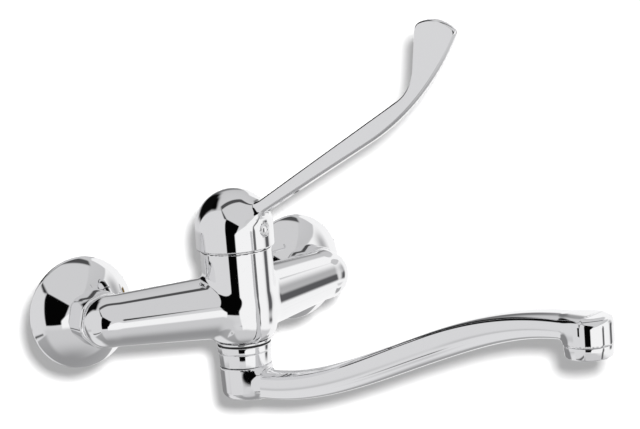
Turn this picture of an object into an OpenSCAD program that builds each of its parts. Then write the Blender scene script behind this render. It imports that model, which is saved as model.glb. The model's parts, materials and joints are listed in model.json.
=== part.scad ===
// Wall mixer tap with a long elbow lever and a swivel spout, in millimetres.
// The wall is the plane y = 0 and the tap reaches out to -Y. The two wall connections
// lie on the X axis, either side of the origin, and +Z is up.

/* [Wall connections] */
// distance between the two inlets
pitch = 150; // [140:1:160]
// how far the cranked unions set the tap below the wall connections
drop = 8; // [4:0.5:12]
// radius of the G1/2 wall thread
wall_thread_r = 10.48; // [9:0.01:12]
// length of the wall thread
wall_thread_len = 16; // [12:0.5:22]
// radius of the G3/4 thread that takes the union nut
nut_thread_r = 13.2; // [12:0.05:15]
// waterway radius in the unions
union_bore_r = 7.5; // [6:0.1:9]

/* [Rosettes] */
// outer radius of the rosette
rosette_r = 33.6; // [30:0.1:38]
// height of the rosette off the wall
rosette_h = 15.6; // [12:0.1:20]
// width of the flat rim that meets the wall
lip_w = 2; // [1.2:0.1:4]
// height of the dome's edge above the wall
lip_t = 1.1; // [0.8:0.1:3]
// sheet thickness
rosette_t = 1; // [0.6:0.1:1.6]

/* [Union nuts] */
// outer radius of the nut
nut_r = 16.7; // [15:0.1:19]
// gap between rosette and nut
nut_gap = 0.8; // [0.4:0.1:3]
// length of the nut
nut_len = 15.8; // [12:0.1:20]
// flat to centre of the spanner flats
nut_flat = 15.9; // [15:0.05:18]
// radius of the body's tail that passes through the nut
tail_r = 9.4; // [8.6:0.1:9.8]
// waterway radius in the tail
tail_bore_r = 5.8; // [5:0.1:6.4]
// gasket thickness
gasket_t = 2; // [1:0.1:3]

/* [Body] */
// distance of the tower axis from the wall
tower_y = 60.2; // [50:0.1:75]
// tower radius
tower_r = 21.1; // [20.8:0.1:22]
// height of the tower top above the inlet axis
tower_top = 33.8; // [32.5:0.1:36]
// radius of the ball elbow at each inlet
ball_r = 15; // [13.5:0.1:17]
// how far the ball's centre lies in front of its flat face
ball_set = 2.6; // [1:0.1:6]
// arm radius at the ball
arm_r0 = 14.3; // [12:0.1:16]
// arm radius at the tower axis
arm_r1 = 19.6; // [18:0.1:21]
// underside of the body below the inlet axis
body_low = 20.4; // [19:0.1:22]
// waterway radius in the arms
arm_bore_r = 5; // [4:0.1:5.4]

/* [Cartridge] */
// floor of the cartridge chamber above the inlet axis
seat_z = 2; // [1:0.1:4]
// outer radius of the cartridge
cart_r = 17.3; // [16.5:0.1:17.5]
// radius of the cartridge nut thread in the body
cart_thread_r = 19; // [18.6:0.05:19.4]
// running radius of the rotor
rotor_r = 14.94; // [14:0.01:15.4]
// radius of the rotor neck
neck_r = 11.4; // [11:0.1:12]
// pin radius
pin_r = 1.5; // [1:0.1:2]
// distance from the pin down to the ball end of the stem
stem_arm = 13.5; // [12:0.1:14]
// ball end radius
stem_ball_r = 3.1; // [2.6:0.1:3.4]
// side of the square that carries the lever
stem_sq = 8; // [7:0.1:9]
// radius of the ceramic discs
disc_r = 13; // [12:0.1:13.4]
// thickness of each ceramic disc
disc_t = 3; // [2:0.1:4]
// port radius
port_r = 3; // [2:0.1:3.4]

/* [Lever] */
// how far the lever stands turned to the right at rest
lever_rest = 20; // [-30:1:30]
// outer radius of the cap
cap_r = 23.1; // [22.9:0.05:25]
// cap wall thickness
cap_t = 1.6; // [1.2:0.1:1.7]
// gap between the tower and the cap's rim
rim_gap = 1; // [0.8:0.1:3]
// height of the dome's centre above the rim
dome_h = 11.4; // [9:0.1:15]
// rise of the lever arm
arm_rise = 30.6; // [20:0.1:40]
// length of the arm's straight upper edge
arm_len = 129; // [110:1:150]
// depth of the arm at the cap
arm_h0 = 6.9; // [5:0.1:10]
// depth of the arm where its lower edge starts to curve
arm_h1 = 10.3; // [8:0.1:12]
// width of the arm at the cap
arm_w0 = 8.6; // [6:0.1:11]
// thickness of the paddle at its end
paddle_t = 4.4; // [3:0.1:7]
// radius of the bend in the upper edge
bend_r = 24; // [15:1:40]
// rise of the paddle's upper edge
paddle_rise = 82; // [75:0.5:88]
// straight length of the paddle's upper edge
paddle_len = 24.4; // [18:0.1:32]
// length of the arm's straight lower edge
low_len = 100; // [80:1:110]
// radius of the curve in the lower edge
low_r = 153; // [130:1:180]
// rise of the lower edge at the tip
low_rise = 61.4; // [55:0.1:66]
// how far the tip bulges
tip_bulge = 4.4; // [1:0.1:8]
// how far the index plug lies below the dome's centre
plug_drop = 0.2; // [-1:0.1:2]
// radius of the index plug
plug_r = 3.8; // [3:0.1:4.2]

/* [Spout] */
// how far the spout stands turned to the right at rest
spout_rest = 16; // [-30:1:30]
// reach from the tower axis to the outlet
reach = 243.3; // [180:0.1:300]
// depth of the low run's centre below the top of the foot
run_drop = 10.65; // [10:0.05:11.2]
// height of the high run above the inlet axis
run_high = 11.5; // [0:0.1:20]
// where the rise starts
rise_from = 13; // [8:0.5:30]
// where the rise ends, short of the outlet
rise_short = 10; // [5:0.5:30]
// width of the low run
run_w = 17; // [15:0.1:20]
// depth of the low run
run_h = 16.6; // [14:0.1:18]
// width of the run at the nose
nose_w = 24; // [18:0.1:26]
// depth of the run at the nose
nose_h = 13.2; // [11:0.1:15]
// nose radius
nose_r = 13.4; // [13:0.1:15]
// depth of the nose below the centre of the high run
nose_down = 7.9; // [7:0.1:12]
// radius of the foot under the collar
foot_r = 15.7; // [14:0.1:17]
// height of the foot
foot_h = 19.8; // [18:0.1:22]
// how much the foot narrows downwards
foot_taper = 0.6; // [0:0.1:1]
// radius of the foot's lower edge
foot_round = 5; // [3:0.5:7]
// radius of the stem in the body
spigot_r = 9; // [8:0.05:10]
// waterway radius in the run
run_bore_r = 4.8; // [4:0.1:5.4]

/* [Collar] */
// outer radius of the collar nut
collar_r = 15.6; // [15:0.1:17]
// radius of its upper band
band_r = 16.1; // [15.5:0.1:17]
// height of the thin ring at its top
top_ring_h = 1.5; // [1:0.1:2.5]
// height of the groove under that ring
top_groove_h = 0.7; // [0.4:0.1:1]
// height of its upper band
band_h = 4.2; // [3:0.1:5]
// how much its lower band narrows
collar_taper = 0.25; // [0:0.05:0.4]
// height of the collar nut
collar_h = 14.8; // [13:0.1:17]
// radius of the thread on the body
collar_thread_r = 12.6; // [12:0.05:13.4]

/* [Aerator] */
// radius at the top
aerator_r = 12.9; // [12:0.1:14]
// radius at the rim
aerator_rim_r = 12.3; // [11.5:0.1:13]
// visible height
aerator_h = 6.7; // [5:0.1:9]
// thread radius (M24)
aerator_thread_r = 11.6; // [11:0.05:12]

/* [Clearances] */
// turning fit of shafts, on radius
run_gap = 0.06; // [0.02:0.01:0.1]
// fit between pieces that do not move on each other, on radius
seat_gap = 0.1; // [0.05:0.05:0.3]
// space between pieces that move past each other
move_gap = 0.35; // [0.3:0.05:0.6]

/* [Hidden] */
$fn = 72;
eps = 0.01;
// longer than any cut needs
far = reach + pitch;

// nut, tail and ball, measured off the wall
nut_y = rosette_h + nut_gap;
nut_end = nut_y + nut_len;
snap_t = 1.7;
lip_len = 3.8;
snap_y = nut_end - lip_len - seat_gap - snap_t;
tail_y0 = snap_y - 1.1;
union_end = tail_y0 - gasket_t;
tail_y1 = nut_end + 0.5;
ball_y = tail_y1 + ball_set;
// turn of the nut's corners from the horizontal
nut_turn = 15;
groove_d = 0.8;
split_w = 1.8;
hex_r = 13;
hex_y = 1;
hex_h = 5;
crank_r = 12.4;
crank_y = hex_y + hex_h;
crank_h = 5;
bore_web = 1.5;
notch_gap = 1.5;
arm_dx = pitch / 2;
arm_dy = tower_y - ball_y;
arm_run = sqrt(arm_dx * arm_dx + arm_dy * arm_dy);
// the pilot that centres the gasket ends level with the back of the arms
pilot_r = tail_bore_r + 1.1;
pilot_y = ball_y - arm_r0 * arm_dx / arm_run;

// cartridge, measured up from the inlet axis
base_t = 4.2;
base_top = seat_z + base_t;
fixed_top = base_top + disc_t;
disc_gap = 0.05;
moving_low = fixed_top + disc_gap;
moving_top = moving_low + disc_t;
ball_z = moving_top + 0.15 + stem_ball_r;
pin_z = ball_z + stem_arm;
carrier_top = ball_z + stem_ball_r - 1.2;
rotor_low = carrier_top + move_gap;
rotor_mid = pin_z - 4.5;
rotor_top = pin_z + 4;
housing_in = rotor_r + run_gap;
shoulder_z = rotor_mid + 2;
housing_neck_r = neck_r + 3.2;
housing_top = pin_z + 2.5;
cart_nut_top = tower_top + 1.2;
carrier_r = 9.8;
carrier_set = -3;
moving_r = 10.8;
slot_w = 7;
slot_front = 9.4;
slot_len = 18.4;
stem_w = slot_w - 2 * move_gap;
stem_blade_h = 13.5;
stem_neck_w = 4.4;
stem_top_h = 24;
rail_w = 2.5;
rail_len = 14;
spanner_w = 4;
seal_r = port_r + 2.1;
port_x = 7.6;
port_y = 1.6;
outlet_y = -8.4;
// the waterways of the arms run below the chamber
water_z = seat_z - 2.5 - arm_bore_r;

// lever
cap_low = tower_top + rim_gap;
dome_z = cap_low + dome_h;
plug_z = dome_z - plug_drop;
arm_s0 = 14.1;
arm_z0 = dome_z + 8.3;
web_low = plug_z - plug_r - 0.8;
boss_r = 7.5;
web_w = 12;
grub_r = 2.5;
grub_len = 8;
plug_seat = 17.5;

// spout
collar_top = -body_low - 0.8;
collar_bot = collar_top - collar_h;
ring_bot = collar_top - top_ring_h;
band_top = ring_bot - top_groove_h;
band_bot = band_top - band_h;
foot_top = collar_bot - move_gap;
foot_bot = foot_top - foot_h;
socket_bot = collar_bot + 4.6;
lip_top = collar_bot + 2.4;
spigot_top = -body_low + 5;
water_gap = 2.6;
ring_r = 11.4;
stem_bore_r = run_bore_r + 0.8;
rise_to = reach - rise_short;
run_low = foot_top - run_drop;
nose_top = run_high + nose_h / 2 + 0.1;
nose_low = run_high - nose_down;
aerator_low = nose_low - aerator_h;
aerator_in_r = aerator_thread_r - 1.6;
aerator_up = 4.6;
ledge_h = 1.2;
jet_r = 1.3;
jet_rings = [3.4, 7];

// helpers
module inlet(side) translate([side * pitch / 2, 0, -drop]) children();
module off_wall() rotate([90, 0, 0]) children();
module tower(a = 0) translate([0, -tower_y, -drop]) rotate([0, 0, a]) children();
module up(z) translate([0, 0, z]) children();
// a 2D shape drawn as (forward, up), extruded across the lever
module across(w) rotate([90, 0, -90]) linear_extrude(w, center = true) children();
module ring(r1, r0, h) difference() {
    cylinder(r = r1, h = h);
    translate([0, 0, -1]) cylinder(r = r0, h = h + 2);
}

// a cranked union: wall thread, spanner hex, crank and nut thread
module wall_union(side) {
    inlet(side) difference() {
        union() {
            translate([0, wall_thread_len, drop]) off_wall()
                cylinder(r = wall_thread_r, h = wall_thread_len + hex_y + hex_h / 2);
            translate([0, -hex_y, drop]) off_wall() linear_extrude(hex_h) circle(hex_r, $fn = 6);
            translate([0, 0.1 - crank_y, drop]) off_wall() cylinder(r = crank_r, h = crank_h + 0.1);
            translate([0, -crank_y, 0]) off_wall()
                cylinder(r = nut_thread_r - seat_gap, h = union_end - crank_y);
        }
        translate([0, wall_thread_len + 1, drop]) off_wall()
            cylinder(r = union_bore_r, h = wall_thread_len + 1 + crank_y + 2 * bore_web);
        translate([0, -crank_y - bore_web, 0]) off_wall() cylinder(r = union_bore_r + 1, h = union_end);
    }
}
// a round dome from the edge of its hole down to the rim
module rosette(side) {
    in_r = nut_thread_r + 0.4;
    c = (in_r * in_r + rosette_h * rosette_h - rosette_r * rosette_r - lip_t * lip_t)
        / (2 * (rosette_h - lip_t));
    dome_r = norm([in_r, rosette_h - c]);
    inlet(side) off_wall() rotate_extrude() {
        difference() {
            intersection() {
                translate([0, c]) circle(dome_r);
                translate([in_r, 0]) square([rosette_r - in_r, rosette_h]);
            }
            translate([0, c]) circle(dome_r - rosette_t);
        }
        translate([rosette_r - lip_w, 0]) square([lip_w, lip_t]);
    }
}
module union_nut(side) {
    c = 1.1;
    inlet(side) off_wall() difference() {
        intersection() {
            rotate_extrude() polygon([[tail_r + seat_gap, nut_end], [nut_r - c, nut_end],
                [nut_r, nut_end - c], [nut_r, nut_y + c], [nut_r - c, nut_y], [nut_thread_r, nut_y],
                [nut_thread_r, nut_end - lip_len], [tail_r + seat_gap, nut_end - lip_len]]);
            translate([0, 0, nut_y - 1]) rotate([0, 0, nut_turn])
                linear_extrude(nut_len + 2) circle(nut_flat / cos(30), $fn = 6);
        }
    }
}
// split ring in the tail's groove, which keeps the nut on
module snap_ring(side) {
    inlet(side) off_wall() difference() {
        translate([0, 0, snap_y]) ring(nut_thread_r - 0.6, tail_r - groove_d + seat_gap, snap_t);
        translate([-split_w / 2, 0, snap_y - 1]) cube([split_w, far, snap_t + 2]);
    }
}
module gasket(side) {
    inlet(side) off_wall() translate([0, 0, union_end])
        ring(nut_thread_r - 0.3, pilot_r + seat_gap, gasket_t);
}

// the casting: tower, arms, ball elbows and inlet tails, with the waterways cut out
module arm(side, r0, r1, from, to) {
    k = (r1 - r0) / arm_run;
    a = atan2(arm_dy, arm_dx);
    translate([0, -tower_y, -drop]) rotate([0, 0, side > 0 ? a : 180 - a])
        rotate([0, 90, 0]) translate([0, 0, from])
            cylinder(r1 = r1 - k * from, r2 = r1 - k * (arm_run - to), h = arm_run - to - from);
}
module tap_body() color([0.80, 0.81, 0.82]) {
    difference() {
        union() {
            difference() {
                union() {
                    tower() rotate_extrude() polygon([[0, -body_low], [tower_r - 5.1, -body_low],
                        [tower_r - 2.1, -body_low + 3.4], [tower_r, -body_low + 12.4],
                        [tower_r, tower_top - 0.4], [tower_r - 0.4, tower_top], [0, tower_top]]);
                    for (s = [-1, 1]) arm(s, arm_r0, arm_r1, 0, 0);
                }
                // room for each nut behind the arms
                for (s = [-1, 1]) inlet(s) off_wall() cylinder(r = nut_r + notch_gap, h = tail_y1);
            }
            // ball elbows with a flat face behind each nut, then the tail and its pilot
            for (s = [-1, 1]) inlet(s) off_wall() {
                rotate_extrude() intersection() {
                    translate([0, ball_y]) circle(ball_r);
                    translate([0, tail_y1]) square(2 * ball_r + ball_set);
                }
                translate([0, 0, tail_y0]) cylinder(r = tail_r, h = tail_y1 - tail_y0 + 1);
                translate([0, 0, pilot_y]) cylinder(r = pilot_r, h = tail_y0 - pilot_y + 1);
            }
            tower() up(socket_bot) cylinder(r = collar_thread_r, h = -body_low - socket_bot + 1);
        }
        for (s = [-1, 1]) {
            inlet(s) off_wall() translate([0, 0, snap_y - seat_gap])
                ring(tail_r + 1, tail_r - groove_d, snap_t + 2 * seat_gap);
            inlet(s) off_wall() translate([0, 0, pilot_y - 1])
                cylinder(r = tail_bore_r, h = ball_y - pilot_y + 5);
            up(water_z) arm(s, arm_bore_r, arm_bore_r, 6, 3);
        }
        // cartridge chamber
        tower() up(seat_z) cylinder(r = cart_r + seat_gap, h = tower_top);
        tower() up(shoulder_z - 0.2) cylinder(r = cart_thread_r, h = tower_top);
        // hot and cold ports, and the outlet down to the spout
        for (s = [-1, 1]) tower() translate([s * port_x, port_y, water_z])
            cylinder(r = port_r, h = seat_z - water_z + 1);
        tower() translate([0, outlet_y, -body_low + 6]) cylinder(r = port_r, h = seat_z + body_low);
        tower() up(socket_bot - 1)
            cylinder(r = spigot_r + run_gap, h = spigot_top - socket_bot + 1 + water_gap);
    }
}

module left_wall_union() color([0.74, 0.66, 0.45]) wall_union(-1);
module right_wall_union() color([0.74, 0.66, 0.45]) wall_union(1);
module left_rosette() color([0.80, 0.81, 0.82]) rosette(-1);
module right_rosette() color([0.80, 0.81, 0.82]) rosette(1);
module left_union_nut() color([0.78, 0.79, 0.80]) union_nut(-1);
module right_union_nut() color([0.78, 0.79, 0.80]) union_nut(1);
module left_snap_ring() color([0.70, 0.71, 0.72]) snap_ring(-1);
module right_snap_ring() color([0.70, 0.71, 0.72]) snap_ring(1);
module left_gasket() color([0.12, 0.12, 0.12]) gasket(-1);
module right_gasket() color([0.12, 0.12, 0.12]) gasket(1);

// the three ports, in the body's own directions
module at_ports() for (p = [[port_x, port_y], [-port_x, port_y], [0, outlet_y]])
    translate([p[0], p[1], 0]) children();
module cartridge_base() color([0.90, 0.90, 0.88]) tower() difference() {
    union() {
        up(seat_z) cylinder(r = cart_r, h = base_t);
        up(base_top - eps) ring(disc_r + seat_gap + 1.2, disc_r + seat_gap, 2 + eps);
    }
    up(seat_z - 1) at_ports() cylinder(r = port_r, h = base_t + 2);
    up(seat_z - 1) at_ports() cylinder(r = seal_r + seat_gap, h = 2.9);
}
module port_seal(x, y) tower() translate([x, y, seat_z]) ring(seal_r, port_r + 0.3, 1.85);
module hot_seal() color([0.10, 0.10, 0.10]) port_seal(-port_x, port_y);
module cold_seal() color([0.10, 0.10, 0.10]) port_seal(port_x, port_y);
module outlet_seal() color([0.10, 0.10, 0.10]) port_seal(0, outlet_y);
module fixed_disc() color([0.93, 0.93, 0.90]) tower() difference() {
    up(base_top) cylinder(r = disc_r, h = disc_t);
    up(base_top - 1) at_ports() cylinder(r = port_r, h = disc_t + 2);
}
// the moving disc has a blind mixing pocket in its face
module moving_disc() color([0.86, 0.86, 0.84]) tower(lever_rest) translate([0, -carrier_set, 0])
    difference() {
        up(moving_low) cylinder(r = moving_r, h = disc_t);
        up(moving_low - 1) cylinder(r = moving_r - 3.6, h = 2.7);
    }
module disc_carrier() color([0.25, 0.35, 0.55]) tower(lever_rest) difference() {
    translate([0, -carrier_set, moving_top]) cylinder(r = carrier_r, h = carrier_top - moving_top);
    translate([-stem_ball_r - move_gap, -stem_ball_r - move_gap, ball_z - stem_ball_r - move_gap])
        cube([2 * (stem_ball_r + move_gap), 2 * (stem_ball_r + move_gap), 20]);
}
module stem_rotor() color([0.92, 0.92, 0.90]) tower(lever_rest) difference() {
    union() {
        up(rotor_low) cylinder(r = rotor_r, h = rotor_mid - rotor_low);
        up(rotor_mid - 1) cylinder(r = neck_r, h = rotor_top - rotor_mid + 1);
        for (s = [-1, 1])
            translate([s * (carrier_r + move_gap + rail_w / 2) - rail_w / 2, -rail_len / 2, moving_top + 1])
                cube([rail_w, rail_len, rotor_low - moving_top]);
    }
    translate([-slot_w / 2, -slot_front, rotor_low - 1]) cube([slot_w, slot_len, rotor_top]);
    up(pin_z) rotate([0, 90, 0]) cylinder(r = pin_r, h = 2 * rotor_r, center = true);
}
module pivot_pin() color([0.70, 0.71, 0.72]) tower(lever_rest) up(pin_z) rotate([0, 90, 0])
    cylinder(r = pin_r, h = 2 * (neck_r - 1), center = true);
module lever_stem() color([0.72, 0.73, 0.74]) tower(lever_rest) difference() {
    union() {
        translate([-stem_w / 2, -stem_sq / 2, rotor_mid]) cube([stem_w, stem_sq, stem_blade_h]);
        translate([-stem_neck_w / 2, -stem_neck_w / 2, ball_z])
            cube([stem_neck_w, stem_neck_w, stem_arm - 2]);
        up(ball_z) sphere(stem_ball_r);
        translate([-stem_sq / 2, -stem_sq / 2, rotor_top + 4]) cube([stem_sq, stem_sq, stem_top_h]);
    }
    up(pin_z) rotate([0, 90, 0]) cylinder(r = pin_r + run_gap, h = 2 * rotor_r, center = true);
}
module cartridge_housing() color([0.88, 0.88, 0.86]) tower() difference() {
    union() {
        up(base_top) cylinder(r = cart_r, h = shoulder_z - base_top);
        up(shoulder_z - 1) cylinder(r = housing_neck_r, h = housing_top - shoulder_z + 1);
    }
    up(base_top - 1) cylinder(r = housing_in, h = rotor_mid + move_gap - base_top + 1);
    up(base_top) cylinder(r = neck_r + move_gap, h = housing_top);
}
module cartridge_nut() color([0.76, 0.68, 0.47]) tower() difference() {
    up(shoulder_z) ring(cart_thread_r - seat_gap, housing_neck_r + seat_gap, cart_nut_top - shoulder_z);
    // four slots for the ring spanner
    for (a = [45, 135]) rotate([0, 0, a]) translate([-far / 2, -spanner_w / 2, cart_nut_top - 2])
        cube([far, spanner_w, 5]);
}
module cover_ring() color([0.80, 0.81, 0.82]) tower() {
    o = tower_r - 0.4;
    rotate_extrude() polygon([[o, tower_top], [o, tower_top + 0.5], [o - 0.6, tower_top + 1.6],
        [o - 2.2, tower_top + 3], [housing_neck_r, tower_top + 4], [housing_neck_r, tower_top + 2.8],
        [o - 2.6, tower_top + 1.8], [o - 1.2, tower_top + 1.0], [o - 1.2, tower_top]]);
}

// lever side view, as (forward, up): the upper edge bends sharply, the lower one curves slowly away from
// it, and between them they leave the paddle
function arm_at(t, h) = [arm_s0 + t * cos(arm_rise) - h * sin(arm_rise),
    arm_z0 + t * sin(arm_rise) + h * cos(arm_rise)];
function arc_on(p, r, a0, a) = p + r * [sin(a) - sin(a0), cos(a0) - cos(a)];
function step_to(a, b, i) = a + (b - a) * i / edge_n;
edge_n = 14;
up_from = arm_at(arm_len, arm_h0 / 2);
up_tip = arc_on(up_from, bend_r, arm_rise, paddle_rise) + paddle_len * [cos(paddle_rise), sin(paddle_rise)];
low_start = arm_at(0, -arm_h0 / 2);
low_from = arm_at(low_len, arm_h0 / 2 - arm_h1);
low_a = atan2(low_from[1] - low_start[1], low_from[0] - low_start[0]);
low_tip = arc_on(low_from, low_r, low_a, low_rise);
thin_from = arm_s0 + 26;
thin_to = low_tip[0];
module lever_side() {
    tip = low_tip - up_tip;
    out = [-tip[1], tip[0]] / norm(tip);
    polygon(concat([arm_at(0, arm_h0 / 2)],
        [for (i = [0:edge_n]) arc_on(up_from, bend_r, arm_rise, step_to(arm_rise, paddle_rise, i))],
        [for (i = [0:edge_n]) let (k = i / edge_n) up_tip + k * tip + 4 * k * (1 - k) * tip_bulge * out],
        [for (i = [edge_n - 1:-1:0]) arc_on(low_from, low_r, low_a, step_to(low_a, low_rise, i))],
        [low_start]));
}
module cap_shape(r) rotate_extrude() intersection() {
    union() {
        translate([0, dome_z]) circle(r);
        translate([0, cap_low - 2]) square([r, dome_z - cap_low + 2]);
    }
    translate([0, cap_low]) square(far);
}
module lever() color([0.80, 0.81, 0.82]) tower(lever_rest) difference() {
    union() {
        difference() {
            union() {
                cap_shape(cap_r);
                intersection() {
                    across(2 * arm_w0) lever_side();
                    // plan view: the arm thins towards the paddle
                    linear_extrude(far) polygon([[-arm_w0 / 2, 0], [arm_w0 / 2, 0],
                        [arm_w0 / 2, -thin_from], [paddle_t / 2, -thin_to], [paddle_t / 2, -far],
                        [-paddle_t / 2, -far], [-paddle_t / 2, -thin_to], [-arm_w0 / 2, -thin_from]]);
                }
            }
            up(-0.1) cap_shape(cap_r - cap_t);
        }
        // socket for the stem, and the web that carries the grub screw to the front
        intersection() {
            union() {
                up(web_low + 3.6) cylinder(r = boss_r, h = 2 * cap_r);
                translate([-web_w / 2, -cap_r, web_low]) cube([web_w, cap_r + 2, 14]);
            }
            cap_shape(cap_r - 0.5);
        }
    }
    translate([-stem_sq / 2 - seat_gap, -stem_sq / 2 - seat_gap, 20])
        cube([stem_sq + 2 * seat_gap, stem_sq + 2 * seat_gap, rotor_top + 8.4]);
    up(plug_z) off_wall() cylinder(r = grub_r + seat_gap, h = 2 * cap_r);
    up(plug_z) off_wall() translate([0, 0, plug_seat]) cylinder(r = plug_r + seat_gap, h = cap_r);
}
module grub_screw() color([0.45, 0.45, 0.46]) tower(lever_rest) up(plug_z) off_wall() difference() {
    translate([0, 0, stem_sq / 2]) cylinder(r = grub_r, h = grub_len);
    translate([0, 0, stem_sq / 2 + grub_len - 3]) linear_extrude(5) circle(1.45, $fn = 6);
}
module index_plug() color([0.78, 0.79, 0.80]) tower(lever_rest) up(plug_z) off_wall() rotate_extrude()
    polygon([[0, plug_seat], [plug_r, plug_seat], [plug_r, cap_r - 0.7], [plug_r - 0.5, cap_r - 0.1],
        [plug_r - 1.5, cap_r + 0.3], [0, cap_r + 0.5]]);

// collar nut: thread above, a lip below that holds the slip ring; outside a ring, a groove and two bands
module collar_nut() color([0.80, 0.81, 0.82]) tower() rotate_extrude() polygon([
    [collar_thread_r + seat_gap, collar_top], [band_r - 0.4, collar_top], [band_r, collar_top - 0.4],
    [band_r, ring_bot + 0.3], [band_r - 0.3, ring_bot], [band_r - 1, ring_bot], [band_r - 1, band_top],
    [band_r - 0.3, band_top], [band_r, band_top - 0.3], [band_r, band_bot + 0.3], [band_r - 0.3, band_bot],
    [collar_r - 0.5, band_bot - 0.2], [collar_r, band_bot - 0.7], [collar_r - collar_taper, collar_bot + 0.4],
    [collar_r - collar_taper - 0.4, collar_bot], [spigot_r + move_gap, collar_bot],
    [spigot_r + move_gap, lip_top], [collar_thread_r + seat_gap, lip_top]]);
module slip_ring() color([0.93, 0.93, 0.93]) tower(spout_rest) difference() {
    up(lip_top + move_gap) ring(ring_r, spigot_r - 1 + seat_gap, socket_bot - lip_top - 2 * move_gap);
    // the split that lets it spring over the stem
    translate([-split_w / 2, 0, lip_top]) cube([split_w, far, socket_bot - lip_top]);
}
o_ring_z = [-body_low - 2.2, -body_low + 2];
o_ring_h = 1.9;
o_ring_d = 1.5;
module o_ring(i) tower(spout_rest) up(o_ring_z[i] - o_ring_h / 2)
    ring(spigot_r, spigot_r - o_ring_d + seat_gap, o_ring_h);
module upper_o_ring() color([0.10, 0.10, 0.10]) o_ring(1);
module lower_o_ring() color([0.10, 0.10, 0.10]) o_ring(0);

// spout run: an S curve in the vertical plane. Its sections have a flat top and a round belly, and
// they flatten and widen to the nose
function ease(t) = let (u = min(1, max(0, t))) u * u * (3 - 2 * u);
function run_z(s) = run_low + (run_high - run_low) * ease((s - rise_from) / (rise_to - rise_from));
function run_a(s) = atan2(run_z(s + 1) - run_z(s - 1), 2);
function run_kw(s) = ease((s - 0.6 * reach) / (0.38 * reach));
function spow(v, p) = sign(v) * pow(abs(v), p);
sec_n = 20;
flat_lift = 0.15;
function section(s, w, h, p, lift) = let (a = run_a(s), z = run_z(s)) [for (i = [0:sec_n - 1])
    let (q = 360 * i / sec_n, x = w / 2 * spow(cos(q), p),
        y = h / 2 * min(1, lift + (1 + lift) * spow(sin(q), p)))
    [x, -(s - y * sin(a)), z + y * cos(a)]];
module loft(rings) {
    n = len(rings[0]);
    m = len(rings);
    pts = [for (r = rings) each r];
    polyhedron(pts, concat([[for (i = [0:n - 1]) i]],
        [for (j = [0:m - 2], i = [0:n - 1]) [j * n + i, (j + 1) * n + i, (j + 1) * n + (i + 1) % n]],
        [for (j = [0:m - 2], i = [0:n - 1]) [j * n + i, (j + 1) * n + (i + 1) % n, j * n + (i + 1) % n]],
        [[for (i = [n - 1:-1:0]) (m - 1) * n + i]]));
}
run_n = 26;
module spout_run() loft([for (j = [0:run_n]) let (s = 4 + (reach - 4) * j / run_n, k = run_kw(s))
    section(s, run_w + (nose_w - run_w) * k, run_h + (nose_h - run_h) * k, 0.77, flat_lift)]);
module run_bore() loft([for (j = [0:run_n]) let (s = reach * j / run_n)
    section(s, 2 * run_bore_r, 2 * run_bore_r, 1, 0)]);
module foot() up(foot_bot) rotate_extrude() polygon(concat([[0, foot_h], [0, 0]],
    [for (a = [0:15:90])
        [foot_r - foot_taper - foot_round * (1 - sin(a)), foot_round * (1 - cos(a))]],
    [[foot_r, foot_h - 0.3], [foot_r - 0.3, foot_h]]));
module spout() color([0.80, 0.81, 0.82]) tower(spout_rest) difference() {
    union() {
        foot();
        up(foot_top - 1) cylinder(r = spigot_r, h = spigot_top - foot_top + 1);
        spout_run();
        translate([0, -reach, 0]) rotate_extrude() polygon([[0, nose_low], [nose_r - 0.3, nose_low],
            [nose_r, nose_low + 0.3], [nose_r, nose_top - 1.6], [nose_r - 0.5, nose_top - 0.5],
            [nose_r - 1.6, nose_top], [0, nose_top]]);
    }
    // grooves for the slip ring and the seals
    up(lip_top + move_gap - seat_gap)
        ring(spigot_r + 2, spigot_r - 1, socket_bot - lip_top - 2 * move_gap + 2 * seat_gap);
    for (z = o_ring_z) up(z - o_ring_h / 2 - seat_gap)
        ring(spigot_r + 2, spigot_r - o_ring_d, o_ring_h + 2 * seat_gap);
    // waterway: stem, run and outlet
    up(run_low) cylinder(r = stem_bore_r, h = spigot_top - run_low + 1);
    up(run_low) sphere(stem_bore_r);
    run_bore();
    translate([0, -reach, nose_low - 1]) cylinder(r = aerator_thread_r + seat_gap, h = 9);
}

// aerator: ring with a thread, a straightener and a washer
module at_outlet() tower(spout_rest) translate([0, -reach, 0]) children();
module aerator_housing() color([0.80, 0.81, 0.82]) at_outlet() rotate_extrude() polygon([
    [aerator_in_r, nose_low + aerator_up], [aerator_thread_r, nose_low + aerator_up],
    [aerator_thread_r, nose_low - seat_gap], [aerator_r - 0.3, nose_low - seat_gap],
    [aerator_r, nose_low - 0.5], [aerator_r, nose_low - 2],
    [aerator_rim_r, aerator_low + 0.8], [aerator_rim_r - 0.8, aerator_low], [aerator_in_r - 1, aerator_low],
    [aerator_in_r - 1, aerator_low + ledge_h], [aerator_in_r, aerator_low + ledge_h]]);
module aerator_insert() color([0.93, 0.94, 0.95]) at_outlet() difference() {
    up(aerator_low + ledge_h + seat_gap) cylinder(r = aerator_in_r - seat_gap, h = aerator_h + 2.6);
    for (a = [0:60:300]) rotate([0, 0, a]) translate([jet_rings[0], 0, aerator_low]) jet();
    for (a = [15:30:345]) rotate([0, 0, a]) translate([jet_rings[1], 0, aerator_low]) jet();
}
module jet() cylinder(r = jet_r, h = 2 * aerator_h + aerator_up);
module aerator_washer() color([0.12, 0.12, 0.12]) at_outlet() up(nose_low + aerator_up + seat_gap)
    ring(aerator_thread_r - 0.1, aerator_thread_r - 3.2, 1.6);

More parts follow.
